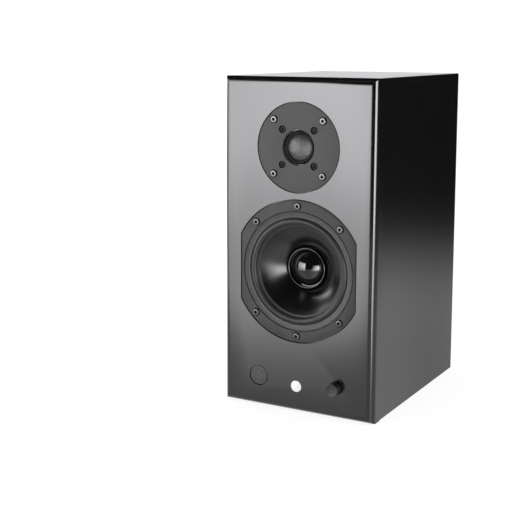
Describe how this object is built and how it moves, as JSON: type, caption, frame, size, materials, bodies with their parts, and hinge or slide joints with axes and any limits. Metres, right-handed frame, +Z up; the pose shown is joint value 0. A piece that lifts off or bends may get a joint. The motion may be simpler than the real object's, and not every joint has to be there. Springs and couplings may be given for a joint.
{
  "type": "bookshelf speaker",
  "caption": "Powered bookshelf speaker in black lacquer with a dome tweeter, a cone woofer, front volume knob and standby button, rear port and sockets.",
  "frame": {"origin": "middle of the underside", "axes": "+Z up, the front with the drivers faces -Y, +X to the right as seen from the front"},
  "size_m": [0.175, 0.259, 0.35],
  "materials": {
    "black_lacquer": "satin to gloss black lacquer on fibreboard",
    "fibreboard": "raw",
    "lining_foam": "open foam",
    "coated_metal": "satin dark grey coating",
    "soft_rubber": "matt",
    "coated_fabric": "coated weave",
    "gloss_cone": "gloss",
    "coil_copper": "enamelled wire",
    "plated_steel": "zinc plated",
    "screw_steel": "black nickel plated",
    "ferrite": "matt",
    "spider_cloth": "resin-stiffened weave",
    "black_plastic": "satin",
    "white_plastic": "satin",
    "red_plastic": "satin",
    "circuit_board": "solder mask",
    "black_aluminium": "black anodised",
    "gold_plate": "gold plated",
    "cable_sheath": "satin"
  },
  "bodies": {
    "cabinet": {"front_baffle": "black_lacquer", "top_panel": "black_lacquer", "bottom_panel": "black_lacquer", "left_side_panel": "black_lacquer", "right_side_panel": "black_lacquer", "rear_panel": "black_lacquer", "window_brace": "fibreboard", "foam_lining_left": "lining_foam", "foam_lining_right": "lining_foam", "tweeter_faceplate": "coated_metal", "woofer_basket": "coated_metal", "woofer_trim_ring": "soft_rubber", "woofer_surround": "soft_rubber", "tweeter_surround": "coated_fabric", "tweeter_top_plate": "plated_steel", "tweeter_yoke": "plated_steel", "woofer_top_plate": "plated_steel", "woofer_yoke": "plated_steel", "volume_encoder": "plated_steel", "tweeter_screw_1": "screw_steel", "tweeter_screw_2": "screw_steel", "tweeter_screw_3": "screw_steel", "tweeter_screw_4": "screw_steel", "woofer_screw_1": "screw_steel", "woofer_screw_2": "screw_steel", "woofer_screw_3": "screw_steel", "woofer_screw_4": "screw_steel", "woofer_screw_5": "screw_steel", "woofer_screw_6": "screw_steel", "tweeter_magnet": "ferrite", "woofer_magnet": "ferrite", "woofer_spider": "spider_cloth", "tweeter_rear_chamber": "black_plastic", "standby_switch": "black_plastic", "port_tube": "black_plastic", "mains_inlet": "black_plastic", "switch_housing": "black_plastic", "badge": "white_plastic", "control_board": "circuit_board", "amp_board": "circuit_board", "amp_plate": "black_aluminium", "heatsink": "black_aluminium", "speaker_post_base": "gold_plate", "phono_socket_pair": "gold_plate", "woofer_cable": "cable_sheath", "tweeter_cable": "cable_sheath"},
    "tweeter_diaphragm": {"tweeter_dome": "coated_fabric", "tweeter_voice_coil": "coil_copper"},
    "woofer_diaphragm": {"woofer_cone": "gloss_cone", "woofer_dust_cap": "gloss_cone", "woofer_voice_coil": "coil_copper"},
    "standby_button": {"standby_button": "black_plastic"},
    "volume_push": {"encoder_plunger": "white_plastic"},
    "volume_turn": {"volume_knob": "black_plastic", "encoder_shaft": "plated_steel"},
    "mains_rocker": {"mains_rocker": "black_plastic"},
    "red_post_washer": {"red_post_washer": "gold_plate"},
    "red_post_nut": {"red_post_nut": "red_plastic"},
    "black_post_washer": {"black_post_washer": "gold_plate"},
    "black_post_nut": {"black_post_nut": "black_plastic"}
  },
  "joints": [
    {"name": "tweeter_travel", "type": "slide", "parent": "cabinet", "child": "tweeter_diaphragm", "axis": [0, 1, 0], "range_m": [-0.0004, 0.0004], "stiffness_N_per_m": 800, "deforming": ["tweeter_surround"]},
    {"name": "woofer_travel", "type": "slide", "parent": "cabinet", "child": "woofer_diaphragm", "axis": [0, 1, 0], "range_m": [-0.005, 0.005], "stiffness_N_per_m": 900, "deforming": ["woofer_surround", "woofer_spider"]},
    {"name": "standby_press", "type": "slide", "parent": "cabinet", "child": "standby_button", "axis": [0, 1, 0], "range_m": [0, 0.0012], "stiffness_N_per_m": 400},
    {"name": "volume_press", "type": "slide", "parent": "cabinet", "child": "volume_push", "axis": [0, 1, 0], "range_m": [0, 0.0005], "stiffness_N_per_m": 800},
    {"name": "volume_turn", "type": "hinge", "parent": "volume_push", "child": "volume_turn", "pos_m": [0.045, -0.116, 0.0326], "axis": [0, 1, 0], "continuous": true},
    {"name": "mains_rock", "type": "hinge", "parent": "cabinet", "child": "mains_rocker", "pos_m": [0.032, 0.1155, 0.048], "axis": [1, 0, 0], "range_deg": [0, 20]},
    {"name": "red_post_rise", "type": "slide", "parent": "cabinet", "child": "red_post_washer", "axis": [0, 1, 0], "range_m": [0, 0.004]},
    {"name": "red_post_screw", "type": "hinge", "parent": "red_post_washer", "child": "red_post_nut", "pos_m": [-0.0415, 0.116, 0.146], "axis": [0, 1, 0], "range_deg": [0, 1801]},
    {"name": "black_post_rise", "type": "slide", "parent": "cabinet", "child": "black_post_washer", "axis": [0, 1, 0], "range_m": [0, 0.004]},
    {"name": "black_post_screw", "type": "hinge", "parent": "black_post_washer", "child": "black_post_nut", "pos_m": [-0.0225, 0.116, 0.146], "axis": [0, 1, 0], "range_deg": [0, 1801]}
  ],
  "couplings": [
    {"joint": "red_post_screw", "follows": "red_post_rise", "rad_per_m": 7854},
    {"joint": "black_post_screw", "follows": "black_post_rise", "rad_per_m": 7854}
  ]
}
